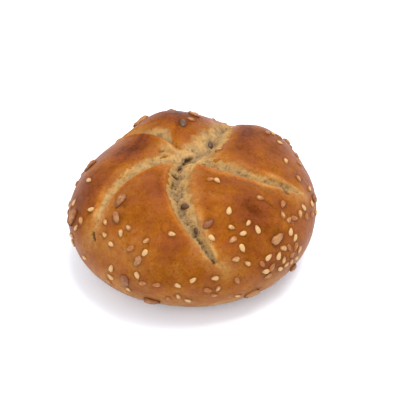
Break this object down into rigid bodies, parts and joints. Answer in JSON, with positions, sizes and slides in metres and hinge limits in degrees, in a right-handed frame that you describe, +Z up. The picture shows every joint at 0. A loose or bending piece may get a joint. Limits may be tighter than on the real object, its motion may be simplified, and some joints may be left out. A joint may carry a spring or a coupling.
{
  "type": "bread roll",
  "caption": "Round pinwheel bread roll with a domed crust parted by curved cuts into petals, seeds baked on its sides and a flat base.",
  "frame": {"origin": "middle of the flat base, on the surface that the roll stands on", "axes": "+Z up through the crown, -Y towards the front of the picture, +X to its right"},
  "size_m": [0.0955, 0.0951, 0.046],
  "materials": {
    "crust": "golden brown baked crust with a soft sheen",
    "sesame": "toasted hulled sesame",
    "sunflower": "toasted sunflower kernel",
    "linseed": "brown linseed"
  },
  "bodies": {
    "root": {"bread_roll": "crust"}
  },
  "joints": []
}
